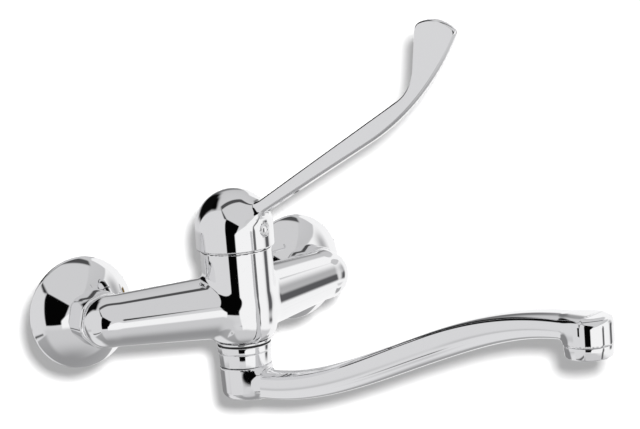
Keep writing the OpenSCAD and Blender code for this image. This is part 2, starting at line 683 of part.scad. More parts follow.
tap_body();
left_wall_union();
right_wall_union();
left_rosette();
right_rosette();
left_union_nut();
right_union_nut();
left_snap_ring();
right_snap_ring();
left_gasket();
right_gasket();
cartridge_base();
hot_seal();
cold_seal();
outlet_seal();
fixed_disc();
moving_disc();
disc_carrier();
stem_rotor();
pivot_pin();
lever_stem();
cartridge_housing();
cartridge_nut();
cover_ring();
lever();
grub_screw();
index_plug();
collar_nut();
slip_ring();
upper_o_ring();
lower_o_ring();
spout();
aerator_housing();
aerator_insert();
aerator_washer();
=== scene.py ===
# %% [markdown]
# # A chrome wall mixer with an elbow lever
# The object is a cast brass tap, polished and chrome plated. It hangs on two wall unions, has a long
# lever that an elbow can push, and a swivel spout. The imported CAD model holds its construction, and this
# script gives it the looks: the softly blended castings, the finishes, the light and the camera.

# %% Load the frame
import json
import math

import bmesh
import bpy
import numpy as np
from mathutils import Matrix, Vector


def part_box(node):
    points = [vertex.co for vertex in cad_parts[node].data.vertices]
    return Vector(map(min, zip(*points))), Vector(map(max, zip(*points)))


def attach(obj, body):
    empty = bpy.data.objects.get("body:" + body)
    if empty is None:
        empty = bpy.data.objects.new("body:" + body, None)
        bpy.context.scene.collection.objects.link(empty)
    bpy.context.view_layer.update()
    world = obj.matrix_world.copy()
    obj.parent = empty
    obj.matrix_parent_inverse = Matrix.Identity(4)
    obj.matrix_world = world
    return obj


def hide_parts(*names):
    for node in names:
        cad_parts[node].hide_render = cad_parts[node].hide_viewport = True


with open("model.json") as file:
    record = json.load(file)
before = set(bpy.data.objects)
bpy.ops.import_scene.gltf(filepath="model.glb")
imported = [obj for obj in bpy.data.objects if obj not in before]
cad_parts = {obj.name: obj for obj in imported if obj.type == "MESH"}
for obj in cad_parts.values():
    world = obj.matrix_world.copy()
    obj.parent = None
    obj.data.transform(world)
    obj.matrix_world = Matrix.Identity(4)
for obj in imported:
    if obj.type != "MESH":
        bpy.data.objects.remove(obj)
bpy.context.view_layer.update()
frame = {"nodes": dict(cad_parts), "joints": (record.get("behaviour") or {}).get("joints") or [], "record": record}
scene = bpy.context.scene
scene.view_settings.view_transform = "Standard"

# %% [markdown]
# ## Places that come from the frame
# The lever and the spout turn about one vertical line, so the joints of the frame give that line and the
# angle at which the lever stands. Everything else is measured from there, in millimetres, because that is
# how a tap is drawn. Meshes are turned into metres at the very end.

# %% Driving sizes
MM = 0.001
SIDES = ((-1, "left"), (1, "right"))
half_pitch = 75.0
joint = {j["name"]: j for j in frame["joints"]}
tower_y = joint["lever_turn"]["pos_m"][1] / MM
slide = joint["disc_slide"]["axis"]
lever_turn = math.atan2(slide[0], -slide[1])
rosette_low, rosette_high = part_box("left_rosette")
axis_z = (rosette_low.z + rosette_high.z) / 2 / MM
outlet_low, outlet_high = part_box("aerator_housing")
outlet = (outlet_low + outlet_high) / 2 / MM
spout_turn = math.atan2(outlet.x, tower_y - outlet.y)
reach = math.hypot(outlet.x, outlet.y - tower_y)
print(f"tower at y {tower_y:.1f} mm, inlets at z {axis_z:.1f} mm, reach {reach:.1f} mm")


def polar(x, y, z, turn):
    """Sideways, forward and up from the tower's foot, for a piece that stands turned by an angle."""
    dx, dy = x, y - tower_y
    s, c = math.sin(turn), math.cos(turn)
    return dx * c + dy * s, dx * s - dy * c, z - axis_z


# %% [markdown]
# ## Castings as distance fields
# A casting has no sharp inner corners: where two forms meet, the pattern maker leaves a fillet. Booleans and
# bevels struggle with fillets between cones, balls and domes, so each casting is written as a function that
# says how far a point lies from its surface. A soft minimum joins two forms with a fillet, and a soft
# maximum cuts one with another and eases the edge. A grid then finds the surface, and a few Newton steps
# pull every vertex onto it. Its normals come from the function too, so the chrome mirrors cleanly.

# %% Soft joins
cast_edge = 0.4
fine_edge = 0.3


def soft_min(a, b, k):
    """The smaller of two distances, with a fillet where they come within k of each other."""
    h = np.clip(0.5 + 0.5 * (b - a) / k, 0, 1)
    return b + (a - b) * h - k * h * (1 - h)


def soft_max(a, b, k):
    """The larger of two distances, eased in the same way."""
    return -soft_min(-a, -b, k)


def bored(d, cut, edge=cast_edge):
    """Takes a cut out of a form and eases the rim that it leaves."""
    return soft_max(d, -cut, edge)


def cylinder(radius, r, a, b, edge):
    """A cylinder of radius r, between two levels that the caller gives as distances past each end."""
    return soft_max(soft_max(radius - r, a, edge), b, edge)


print(f"a soft join over 4 mm fills a corner by {-soft_min(0.0, 0.0, 4.0):.1f} mm")

# %% Surface points on a grid
CORNERS = np.array([[i, j, k] for i in (0, 1) for j in (0, 1) for k in (0, 1)])
EDGES = [(a, b) for a in range(8) for b in range(a + 1, 8)
         if np.abs(CORNERS[a] - CORNERS[b]).sum() == 1]
NEWTON_STEPS = 6
LONGEST_STEP = 0.4
FLAT_SLOPE = 1e-6
print(f"a grid cell has {len(CORNERS)} corners and {len(EDGES)} edges")


def slope(field, v, h=0.02):
    """Gradient of a field at the points v, by central differences."""
    g = np.zeros_like(v)
    for i in range(3):
        d = np.zeros(3)
        d[i] = h
        g[:, i] = (field(*(v + d).T) - field(*(v - d).T)) / (2 * h)
    return g


def surface_points(field, d, cells, low, cell):
    """One point in each crossed cell: the mean of its edge crossings, pulled onto the surface."""
    value = np.stack([d[tuple((cells + c).T)] for c in CORNERS], 1)
    total = np.zeros((len(cells), 3))
    hits = np.zeros(len(cells))
    for a, b in EDGES:
        m = (value[:, a] < 0) != (value[:, b] < 0)
        t = value[m, a] / (value[m, a] - value[m, b])
        total[m] += CORNERS[a] + (CORNERS[b] - CORNERS[a]) * t[:, None]
        hits[m] += 1
    v = low + cell * (cells + total / hits[:, None])
    for _ in range(NEWTON_STEPS):
        g = slope(field, v)
        step = (field(*v.T) / np.maximum((g * g).sum(1), FLAT_SLOPE))[:, None] * g
        v = v - np.clip(step, -LONGEST_STEP * cell, LONGEST_STEP * cell)
    return v


# %% Skin of a field
SHORTEST = 1e-9


def surface_quads(inside, index):
    """One quad round each grid edge that crosses the surface, turned to face outwards."""
    n = inside.shape
    unit = np.eye(3, dtype=int)
    faces = []
    for ax in range(3):
        one, two = (ax + 1) % 3, (ax + 2) % 3
        b, c = unit[one], unit[two]
        first = np.take(inside, range(n[ax] - 1), axis=ax)
        second = np.take(inside, range(1, n[ax]), axis=ax)
        at = np.argwhere(first != second)
        within = (at[:, one] > 0) & (at[:, one] < n[one] - 1) & (at[:, two] > 0) & (at[:, two] < n[two] - 1)
        at = at[within]
        ring = np.stack([index[tuple((at - p).T)] for p in (b + c, c, 0 * b, b)], 1)
        out = inside[tuple(at.T)]
        faces.append(np.where(out[:, None], ring, ring[:, ::-1]))
    return np.concatenate(faces)


def skin(field, low, high, cell):
    """Quads on the surface where field is 0, its inside being negative: vertices, normals and faces."""
    n = np.ceil((high - low) / cell).astype(int) + 1
    axes = [low[i] + cell * np.arange(n[i]) for i in range(3)]
    d = field(*np.meshgrid(*axes, indexing="ij"))
    inside = d < 0
    held = sum(inside[i:n[0] - 1 + i, j:n[1] - 1 + j, k:n[2] - 1 + k].astype(int) for i, j, k in CORNERS)
    active = (held > 0) & (held < len(CORNERS))
    cells = np.argwhere(active)
    index = np.full(active.shape, -1)
    index[active] = np.arange(len(cells))
    v = surface_points(field, d, cells, low, cell)
    g = slope(field, v)
    normals = g / np.maximum(np.linalg.norm(g, axis=1), SHORTEST)[:, None]
    return v, normals, surface_quads(inside, index)


test_r = 5.0
test_box = np.full(3, test_r + 1)
ball = skin(lambda x, y, z: np.sqrt(x * x + y * y + z * z) - test_r, -test_box, test_box, 1.0)[0]
error = np.abs(np.linalg.norm(ball, axis=1) - test_r).max()
print(f"a ball skinned as a test is true to {error:.0e} mm")

# %% Pieces on their bodies
def make_piece(name, v, faces, normals=None):
    """A smooth mesh object at the origin from points in millimetres."""
    mesh = bpy.data.meshes.new(name)
    mesh.from_pydata((np.asarray(v) * MM).tolist(), [], [list(f) for f in np.asarray(faces).tolist()])
    mesh.polygons.foreach_set("use_smooth", [True] * len(mesh.polygons))
    mesh.update()
    if normals is not None:
        mesh.normals_split_custom_set_from_vertices(np.asarray(normals).tolist())
    piece = bpy.data.objects.new(name, mesh)
    scene.collection.objects.link(piece)
    print(f"{name}: {len(mesh.polygons)} faces")
    return piece


def dress(piece, body, material, slot, *nodes):
    """Puts a finished piece on its body, in place of the CAD nodes that it shows."""
    piece.data.materials.clear()
    piece.data.materials.append(material)
    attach(piece, body)
    if nodes:
        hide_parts(*nodes)


def cast(name, field, node, cell, spare, body, material, slot):
    """Skins a field over the box of one CAD node, and puts the piece in that node's place."""
    low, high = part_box(node)
    v, normals, faces = skin(field, np.array(low) / MM - spare, np.array(high) / MM + spare, cell)
    dress(make_piece(name, v, faces, normals), body, material, slot, node)


print(len(frame["nodes"]), "CAD nodes to dress")

# %% [markdown]
# ## Finishes
# Chrome plate is a mirror with a faint cool tint. What tells it from a perfect mirror is the work under it:
# the hand-held polishing wheel leaves very shallow waves, and wiping leaves faint haze. Both come from noise
# at their real scale. The other finishes belong to the collar's seal, whose black also paints the shade in
# its groove, and to pieces that show only from behind, from below or when the tap is taken apart. Their tool
# marks and grain are far finer than the render can show, so they are drawn one to four millimetres wide.

# %% Node helper and colours
def linear(code):
    """An sRGB hex colour as linear RGBA."""
    parts = [int(code[i:i + 2], 16) / 255 for i in (1, 3, 5)]
    return [c / 12.92 if c <= 0.04045 else ((c + 0.055) / 1.055) ** 2.4 for c in parts] + [1.0]


def add(tree, kind, values=None, **settings):
    """Adds a node, sets its properties, and fills its inputs with values or links."""
    node = tree.nodes.new(kind)
    for key, value in settings.items():
        setattr(node, key, value)
    for key, value in (values or {}).items():
        socket = node.inputs[key]
        if isinstance(value, bpy.types.NodeSocket):
            tree.links.new(value, socket)
        else:
            socket.default_value = value
    return node


print(f"the grey #808080 sends back {linear('#808080')[0]:.0%} of the light")

# %% Surface finishes
haze_mm = 22
haze_span = (0.35, 0.7)


def finish(name, colour, metallic, roughness, haze, wave_mm, wave_depth_mm):
    """A surface with its own colour and polish, a hazy variation and shallow waves."""
    material = bpy.data.materials.new(name)
    material.use_nodes = True
    tree = material.node_tree
    tree.nodes.clear()
    place = add(tree, "ShaderNodeTexCoord").outputs["Object"]
    cloud = add(tree, "ShaderNodeTexNoise", {"Vector": place, "Scale": 1 / (haze_mm * MM), "Detail": 3.0})
    polish = add(tree, "ShaderNodeMapRange", {
        "Value": cloud.outputs["Fac"], "From Min": haze_span[0], "From Max": haze_span[1],
        "To Min": roughness, "To Max": roughness + haze})
    wave = add(tree, "ShaderNodeTexNoise", {"Vector": place, "Scale": 1 / (wave_mm * MM), "Detail": 1.0})
    bump = add(tree, "ShaderNodeBump", {
        "Height": wave.outputs["Fac"], "Distance": wave_depth_mm * MM, "Strength": 1.0})
    shader = add(tree, "ShaderNodeBsdfPrincipled", {
        "Base Color": linear(colour), "Metallic": metallic,
        "Roughness": polish.outputs["Result"], "Normal": bump.outputs["Normal"]})
    add(tree, "ShaderNodeOutputMaterial", {"Surface": shader.outputs["BSDF"]})
    return material


# Chrome plate on polished brass: a clear, cool mirror with slow waves from the wheel
chrome = finish("polished_chrome_plate", "#F2F2F3", 1.0, 0.025, 0.03, 30, 0.012)
# Brass from the lathe: a warm sheen, broken up by tool marks
brass = finish("turned_brass", "#C6AA70", 1.0, 0.24, 0.10, 2, 0.01)
# Stainless steel from the lathe: the same sheen in a darker grey
steel = finish("turned_stainless_steel", "#A9ABAE", 1.0, 0.28, 0.08, 2, 0.008)
# Moulded rubber: nearly black and matt, with the grain of the mould
rubber = finish("moulded_black_rubber", "#1B1B1C", 0.0, 0.62, 0.15, 1.2, 0.02)
# Moulded acetal, natural and dyed: a waxy half gloss with shallow sink marks
white_acetal = finish("moulded_white_acetal", "#E4E4DF", 0.0, 0.36, 0.12, 3, 0.015)
blue_acetal = finish("moulded_blue_acetal", "#3A5A94", 0.0, 0.36, 0.12, 3, 0.015)
# Lapped alumina: ivory, flat and glossy
ceramic = finish("lapped_alumina_ceramic", "#EDEAE0", 0.0, 0.12, 0.05, 4, 0.003)

SLOT_FINISH = {"polished_chrome": chrome, "bare_brass": brass, "plain_steel": steel, "black_rubber": rubber,
               "white_plastic": white_acetal, "blue_plastic": blue_acetal, "disc_ceramic": ceramic}
for part in frame["record"]["subparts"]:
    node = frame["nodes"][part["node"]]
    node.data.materials.clear()
    node.data.materials.append(SLOT_FINISH[part["material_slot"]])
print(len(SLOT_FINISH), "finishes")

# %% [markdown]
# ## The body casting
# A round tower stands between two arms that sweep back to the wall and end in ball elbows. The arms taper
# and meet the tower in a small fillet. Each ball is cut flat where its nut begins and carries the tail that
# the nut pulls against the wall union. The cartridge's chamber, the spout's socket and the waterways are cut
# out, as they are in the real casting.

# %% Outside of the body
tower_r = 21.1
tower_top = 33.8
tower_rim = 0.5
body_low = 20.4
body_low_edge = 1.2
# Rounding at the tower's foot: how far in it goes, and over what height
foot_round = (5.1, 12.4)
ball_r = 15.0
ball_y = -35.3
ball_face = -32.7
ball_fillet = 1.6
notch_r = 18.2
notch_edge = 0.6
arm_r_ball = 14.9
arm_r_tower = 19.6
arm_fillet = 3.2
# Radius and end of the tail that carries the nut, and of the pilot at its tip
TAILS = ((9.4, -25.5), (6.9, -21.7))
tail_root = 2.0
stub_r = 12.6
stub_end = -31.4
stub_root = 1.0


def along_arm(x, y, u, side):
    """Share of the way from tower to ball, and the distance from the arm's axis."""
    ax, ay = side * half_pitch, ball_y - tower_y
    t = np.clip((x * ax + (y - tower_y) * ay) / (ax * ax + ay * ay), 0, 1)
    return t, np.sqrt((x - t * ax) ** 2 + (y - tower_y - t * ay) ** 2 + u ** 2)


def body_form(x, y, u):
    """Tower with its round foot, arms, balls with their tails, and the stub that the collar screws on."""
    r = np.hypot(x, y - tower_y)
    k = np.clip((foot_round[1] - body_low - u) / foot_round[1], 0, 1)
    tower = r - tower_r + foot_round[0] * (1 - np.sqrt(np.maximum(1 - k * k, 0)))
    d = soft_max(soft_max(tower, -body_low - u, body_low_edge), u - tower_top, tower_rim)
    for side, _ in SIDES:
        t, away = along_arm(x, y, u, side)
        d = soft_min(d, away - arm_r_tower - (arm_r_ball - arm_r_tower) * t, arm_fillet)
    for side, _ in SIDES:
        q = np.hypot(x - side * half_pitch, u)
        ball = np.sqrt(q * q + (y - ball_y) ** 2) - ball_r
        d = soft_min(d, ball, ball_fillet)
        d = bored(d, np.maximum(q - notch_r, ball_face - y), notch_edge)
        for tail_r, tail_end in TAILS:
            d = np.minimum(d, cylinder(q, tail_r, ball_face - tail_root - y, y - tail_end, cast_edge))
    return np.minimum(d, cylinder(r, stub_r, u + body_low - stub_root, stub_end - u, cast_edge))


print(f"arms taper from {arm_r_tower} to {arm_r_ball} mm in radius")

# %% Bores of the body
tail_bore_r = 5.8
tail_bore_end = -38.0
waterway_r = 5.0
waterway_drop = 5.5
waterway_from = 6.0
arm_len = 79.0
chamber_r = 17.4
chamber_floor = 2.0
nut_seat_r = 19.0
nut_seat = 26.3
socket_r = 9.06
socket_top = -12.8
port_r = 3.0
port_top = 3.0
# Sideways, back and bottom of the ports for hot, cold and mixed water
PORTS = ((-7.6, 1.6, -5.5), (7.6, 1.6, -5.5), (0.0, -8.4, -14.4))


def body_field(x, y, z):
    u = z - axis_z
    r = np.hypot(x, y - tower_y)
    d = body_form(x, y, u)
    for side, _ in SIDES:
        q = np.hypot(x - side * half_pitch, u)
        d = bored(d, np.maximum(q - tail_bore_r, tail_bore_end - y))
        t, away = along_arm(x, y, u + waterway_drop, side)
        d = bored(d, np.maximum(away - waterway_r, waterway_from - arm_len * t))
    d = bored(d, np.maximum(r - chamber_r, chamber_floor - u))
    d = bored(d, np.maximum(r - nut_seat_r, nut_seat - u))
    d = bored(d, np.maximum(r - socket_r, u - socket_top))
    for port_x, port_y, port_low in PORTS:
        q = np.hypot(x - port_x, y - tower_y - port_y)
        d = bored(d, np.maximum(q - port_r, np.maximum(port_low - u, u - port_top)), fine_edge)
    return d


body_cell = 1.15
casting_spare = 3.0
cast("body_casting", body_field, "tap_body", body_cell, casting_spare,
     "base", chrome, "polished_chrome")

# %% [markdown]
# ## The lever
# The cap is a thin dome over the cartridge. The arm leaves its front in a flare and runs up straight. Then
# its upper edge bends sharply and its lower edge curves slowly away, and the paddle that the elbow meets
# lies between them. All of it is one casting, so it is one field again. Each edge is drawn as a straight, an
# arc and a second straight, and the field only asks on which side of both edges a point lies.

# %% Edges of the lever
arm_start = np.array((14.1, 54.5))
arm_rise = math.radians(30.6)
# Depth of the arm at the cap, and where its lower edge starts to bend
arm_depth = (6.9, 10.3)
upper_len = 129.0
upper_r = 24.0
upper_rise = math.radians(82)
paddle_len = 24.4
lower_len = 100.0
lower_r = 153.0
lower_rise = math.radians(61.4)


def toward_rise(angle):
    """Unit step of the side view along a line that climbs at an angle."""
    return np.array((math.cos(angle), math.sin(angle)))


def off_rise(angle):
    """Unit step of the side view square to that line, to its upper side."""
    return np.array((-math.sin(angle), math.cos(angle)))


def bent_edge(start, rise, length, radius, last):
    """A straight from a point of the side view, an arc that turns up to the last angle, and its end."""
    centre = start + length * toward_rise(rise) + radius * off_rise(rise)
    return start, rise, length, centre, radius, last, centre - radius * off_rise(last)


def above(edge, f, u):
    """Height of points of the side view above a bent edge."""
    start, rise, length, centre, radius, last, end = edge
    along = (f - start[0]) * math.cos(rise) + (u - start[1]) * math.sin(rise)
    before = (f - start[0]) * -math.sin(rise) + (u - start[1]) * math.cos(rise)
    after = (f - end[0]) * -math.sin(last) + (u - end[1]) * math.cos(last)
    angle = np.mod(np.arctan2(f - centre[0], centre[1] - u) + math.pi / 2, 2 * math.pi) - math.pi / 2
    arc = radius - np.hypot(f - centre[0], u - centre[1])
    return np.where(along < length, before, np.where(angle > last, after, arc))


arm_up = off_rise(arm_rise)
upper_start = arm_start + arm_depth[0] / 2 * arm_up
upper_edge = bent_edge(upper_start, arm_rise, upper_len, upper_r, upper_rise)
upper_tip = upper_edge[-1] + paddle_len * toward_rise(upper_rise)
lower_start = arm_start - arm_depth[0] / 2 * arm_up
lower_end = arm_start + lower_len * toward_rise(arm_rise) + (arm_depth[0] / 2 - arm_depth[1]) * arm_up
lower_run = lower_end - lower_start
lower_from = math.atan2(lower_run[1], lower_run[0])
lower_edge = bent_edge(lower_start, lower_from, math.hypot(*lower_run), lower_r, lower_rise)
lower_tip = lower_edge[-1]
half_tip = math.hypot(*(lower_tip - upper_tip)) / 2
tip_middle = (lower_tip + upper_tip) / 2
tip_way = (lower_tip - upper_tip) / (2 * half_tip)
print(f"paddle: {2 * half_tip:.1f} mm wide at its tip")

# %% Arm and paddle
arm_width = 8.6
arm_edge = 1.9
arm_root = 6.0
thin_from = 40.1
thin_ease = 0.3
paddle_t = 4.4
tip_bulge = 4.4
tip_corner = 3.0
tip_past = 1.3


def arm_field(s, f, u):
    """Between both edges and the bulging tip, thinner towards the paddle, with rounded edges."""
    outline = np.maximum(above(upper_edge, f, u), -above(lower_edge, f, u))
    df, du = f - tip_middle[0], u - tip_middle[1]
    share = np.clip((df * tip_way[0] + du * tip_way[1]) / half_tip, -tip_past, tip_past)
    beyond = du * tip_way[0] - df * tip_way[1] - tip_bulge * (1 - share ** 2)
    outline = soft_max(outline, beyond, tip_corner)
    along = (f - arm_start[0]) * math.cos(arm_rise) + (u - arm_start[1]) * math.sin(arm_rise)
    outline = np.maximum(outline, -arm_root - along)
    thin = soft_max((f - thin_from) / (lower_tip[0] - thin_from), 0, thin_ease)
    a = outline + arm_edge
    b = np.abs(s) - (arm_width + (paddle_t - arm_width) * thin) / 2 + arm_edge
    return np.minimum(np.maximum(a, b), 0) + np.hypot(np.maximum(a, 0), np.maximum(b, 0)) - arm_edge


print(f"arm {arm_width} mm thick, paddle {paddle_t} mm")

# %% Cap and lever
cap_r = 23.1
cap_wall = 1.6
cap_low = 34.8
cap_rim = 0.7
dome_z = 46.2
arm_flare = 7.0
boss_r = 7.5
boss_low = 45.0
web_half = 6.0
web_span = (41.4, 55.4)
stem_half = 4.1
stem_top = 61.4
plug_up = 46.0
plug_seat = 17.5
plug_hole_r = 3.9
screw_r = 2.6
screw_edge = 0.2


def dome(s, f, u, r):
    """A round wall with half a ball on top."""
    radius = np.hypot(s, f)
    return np.where(u > dome_z, np.sqrt(radius ** 2 + (u - dome_z) ** 2) - r, radius - r)


def lever_field(x, y, z):
    s, f, u = polar(x, y, z, lever_turn)
    outer = soft_min(dome(s, f, u, cap_r), arm_field(s, f, u), arm_flare)
    outer = soft_max(outer, cap_low - u, cap_rim)
    boss = np.maximum(np.hypot(s, f) - boss_r, boss_low - u)
    web = np.maximum(np.maximum(np.abs(s) - web_half, -f), np.maximum(web_span[0] - u, u - web_span[1]))
    hollow = np.maximum(dome(s, f, u, cap_r - cap_wall), -np.minimum(boss, web))
    d = bored(outer, hollow)
    stem = np.maximum(np.maximum(np.abs(s) - stem_half, np.abs(f) - stem_half), u - stem_top)
    d = bored(d, stem, fine_edge)
    q = np.hypot(s, u - plug_up)
    d = bored(d, np.maximum(q - screw_r, -f), screw_edge)
    return bored(d, np.maximum(q - plug_hole_r, plug_seat - f), fine_edge)


lever_cell = 0.85
cast("lever_casting", lever_field, "lever", lever_cell, casting_spare,
     "elbow_lever", chrome, "polished_chrome")

# %% [markdown]
# ## The spout
# The foot turns under the collar. From it the run swings up in a long S and ends in the round nose that
# holds the aerator. Its belly is round and its top is flat. The top's edges are round near the foot, crisp
# in the middle and softer again at the nose, where the run is widest.

# %% Line of the run
run_low = -47.0
run_high = 11.5
rise_from = 13.0
rise_to = reach - 10.0
slope_step = 0.5
SQUARE_STEPS = 8
SQUARE_SHARE = 0.7


def ease(t):
    """A smooth step from 0 to 1."""
    t = np.clip(t, 0, 1)
    return t * t * (3 - 2 * t)


def run_height(s):
    """Height of the centre line at a distance from the tower's axis."""
    return run_low + (run_high - run_low) * ease((s - rise_from) / (rise_to - rise_from))


def run_slope(s):
    return (run_height(s + slope_step) - run_height(s - slope_step)) / (2 * slope_step)


def run_coords(f, u):
    """Place along the run and height above its centre line, square to the line."""
    s = f.copy()
    for _ in range(SQUARE_STEPS):
        m = run_slope(s)
        s = s + SQUARE_SHARE * ((f - s) + m * (u - run_height(s))) / (1 + m * m)
    m = run_slope(s)
    return s, ((u - run_height(s)) - m * (f - s)) / np.sqrt(1 + m * m)


print(f"the run climbs {run_high - run_low:.1f} mm")

# %% Section of the run
# Width and height near the foot and at the nose
run_size = (17.0, 16.6)
nose_size = (24.0, 13.2)
run_from = 4.0
run_past = 2.0
widen_from = 0.6 * reach
widen_over = 0.38 * reach
belly_power = 2.6
belly_up = 0.15
shoulder = 2.2
shoulder_at_foot = 6.0
shoulder_at_nose = 2.4
shoulder_lift = 0.36
crisp_from = 50.0
crisp_over = 80.0


def run_field(s, f, u):
    """A round belly under a flat top, whose edges soften towards the foot and the nose."""
    at, v = run_coords(f, u)
    k = ease((at - widen_from) / widen_over)
    w = (run_size[0] + (nose_size[0] - run_size[0]) * k) / 2
    h = (run_size[1] + (nose_size[1] - run_size[1]) * k) / 2
    round_v = (v - belly_up * h) / ((1 + belly_up) * h)
    belly = (np.abs(s / w) ** belly_power + np.abs(round_v) ** belly_power) ** (1 / belly_power)
    belly = (belly - 1) * np.minimum(w, h)
    softer = shoulder_at_foot * (1 - ease((at - crisp_from) / crisp_over)) + shoulder_at_nose * k
    d = soft_max(belly, v - h - shoulder_lift * softer, shoulder + softer)
    return np.maximum(np.maximum(d, run_from - f), f - reach - run_past)


print(f"the run widens from {run_size[0]:.0f} to {nose_size[0]:.0f} mm")

# %% Foot and nose
nose_r = 13.4
nose_top = 18.2
nose_low = 3.6
nose_crown = 4.6
nose_fillet = 2.0
foot_r = 15.7
foot_top = -36.35
foot_bot = -56.15
foot_taper = 0.6
foot_edge = 5.0
foot_under = 1.0
foot_fillet = 5.0
turned_edge = 0.6
spigot_r = 9.0
spigot_top = -15.4
spigot_root = 1.0
# Middle, height and depth of the grooves for the slip ring and the two o-rings
GROOVES = ((-32.5, 1.7, 1.0), (-22.6, 2.1, 1.5), (-18.4, 2.1, 1.5))
groove_past = 2.0
groove_edge = 0.2


def spout_form(s, f, u):
    """Foot, run and nose in one casting, and the turned spigot with its three grooves."""
    r = np.hypot(s, f)
    k = np.clip((foot_bot + foot_edge - u) / foot_edge, 0, 1)
    foot = r - foot_r + foot_taper * (foot_top - u) / (foot_top - foot_bot)
    foot = foot + foot_edge * (1 - np.sqrt(np.maximum(1 - k * k, 0)))
    foot = soft_max(soft_max(foot, foot_bot - u, foot_under), u - foot_top, turned_edge)
    nose = np.hypot(s, f - reach)
    tip = soft_max(soft_max(nose - nose_r, u - nose_top, nose_crown), nose_low - u, turned_edge)
    d = soft_min(soft_min(foot, run_field(s, f, u), foot_fillet), tip, nose_fillet)
    d = np.minimum(d, cylinder(r, spigot_r, foot_top - spigot_root - u, u - spigot_top, cast_edge))
    for middle, height, depth in GROOVES:
        across = np.maximum(spigot_r - depth - r, r - spigot_r - groove_past)
        d = bored(d, np.maximum(across, np.abs(u - middle) - height / 2), groove_edge)
    return d


print(f"{len(GROOVES)} grooves on the spigot")

# %% Bores of the spout
spigot_bore = 5.6
run_bore = 4.8
nose_thread_r = 11.7
nose_thread_len = 8.0
nose_thread_past = 2.0


def spout_field(x, y, z):
    s, f, u = polar(x, y, z, spout_turn)
    d = spout_form(s, f, u)
    d = bored(d, np.maximum(np.hypot(s, f) - spigot_bore, run_low - u), fine_edge)
    v = run_coords(f, u)[1]
    d = bored(d, np.maximum(np.hypot(s, v) - run_bore, np.maximum(-f, f - reach)), fine_edge)
    thread = np.maximum(u - nose_low - nose_thread_len, nose_low - nose_thread_past - u)
    return bored(d, np.maximum(np.hypot(s, f - reach) - nose_thread_r, thread), fine_edge)


spout_cell = 0.95
cast("spout_casting", spout_field, "spout", spout_cell, casting_spare,
     "swivel_spout", chrome, "polished_chrome")

# %% [markdown]
# ## Turned and pressed rings
# The rosettes are pressed from sheet, and the collar and the aerator's housing are turned. Each is a profile
# spun about its axis. Bevelled corners catch the thin bright lines that make chrome read as metal. A profile
# is a list of radius, height and corner radius.

# %% Spinning a profile
def spin(name, profile, place, steps=160):
    """A closed profile of (radius, height) points, spun about the Z axis and then put in place."""
    p = np.array(profile)
    n = len(p)
    turn = np.linspace(0, 2 * math.pi, steps, endpoint=False)
    ring = np.stack([np.outer(np.cos(turn), p[:, 0]), np.outer(np.sin(turn), p[:, 0]),
                     np.tile(p[:, 1], (steps, 1))], -1).reshape(-1, 3)
    faces = []
    for i in range(steps):
        a, b = i * n, (i + 1) % steps * n
        faces += [[a + j, b + j, b + (j + 1) % n, a + (j + 1) % n] for j in range(n)]
    v = np.array([place @ Vector(q) for q in ring])
    return make_piece(name, v, faces)


def rounded(points, n=4):
    """Replaces each (radius, height, corner) point by a short arc of that corner radius."""
    out = []
    for i, (r, h, c) in enumerate(points):
        p = np.array([r, h])
        if c == 0:
            out.append(p)
            continue
        before = np.array(points[i - 1][:2]) - p
        after = np.array(points[(i + 1) % len(points)][:2]) - p
        a = p + before / np.linalg.norm(before) * c
        b = p + after / np.linalg.norm(after) * c
        out += [(1 - t) ** 2 * a + 2 * t * (1 - t) * p + t * t * b for t in np.linspace(0, 1, n + 1)]
    return out


def at_inlet(side):
    """Heights of a profile become distances off the wall, about one inlet."""
    return Matrix.Translation((side * half_pitch, 0, axis_z)) @ Matrix.Rotation(math.radians(90), 4, "X")


tower_place = Matrix.Translation((0, tower_y, axis_z))
outlet_place = Matrix.Translation((outlet.x, outlet.y, axis_z))
print(f"outlet at x {outlet.x:.1f} mm, y {outlet.y:.1f} mm")

# %% Rosettes
rosette_r = 33.6
rosette_h = 15.6
rosette_hole = 13.6
sheet_t = 1.0
lip_w = 2.0
lip_t = 1.1
arc_points = 40


def dome_arc(r, centre, start, end):
    """Points of a dome of radius r about a height, between two distances from its axis."""
    turns = np.linspace(math.asin(start / r), math.asin(end / r), arc_points)
    return [(r * math.sin(a), centre + r * math.cos(a), 0) for a in turns]


def rosette_profile():
    """A round dome that is pressed from sheet and ends in a narrow rim on the wall."""
    centre = (rosette_hole ** 2 + rosette_h ** 2 - rosette_r ** 2 - lip_t ** 2) / (2 * (rosette_h - lip_t))
    dome_r = math.hypot(rosette_hole, rosette_h - centre)
    outer = dome_arc(dome_r, centre, rosette_r, rosette_hole)
    outer[-1] = outer[-1][:2] + (0.4,)
    inner = dome_arc(dome_r - sheet_t, centre, rosette_hole, rosette_r - lip_w)
    return rounded([(rosette_r - lip_w, 0, 0.2), (rosette_r, 0, 0.4)] + outer[1:] + inner)


for side, word in SIDES:
    piece = spin(word + "_rosette_shell", rosette_profile(), at_inlet(side))
    dress(piece, "base", chrome, "polished_chrome", word + "_rosette")
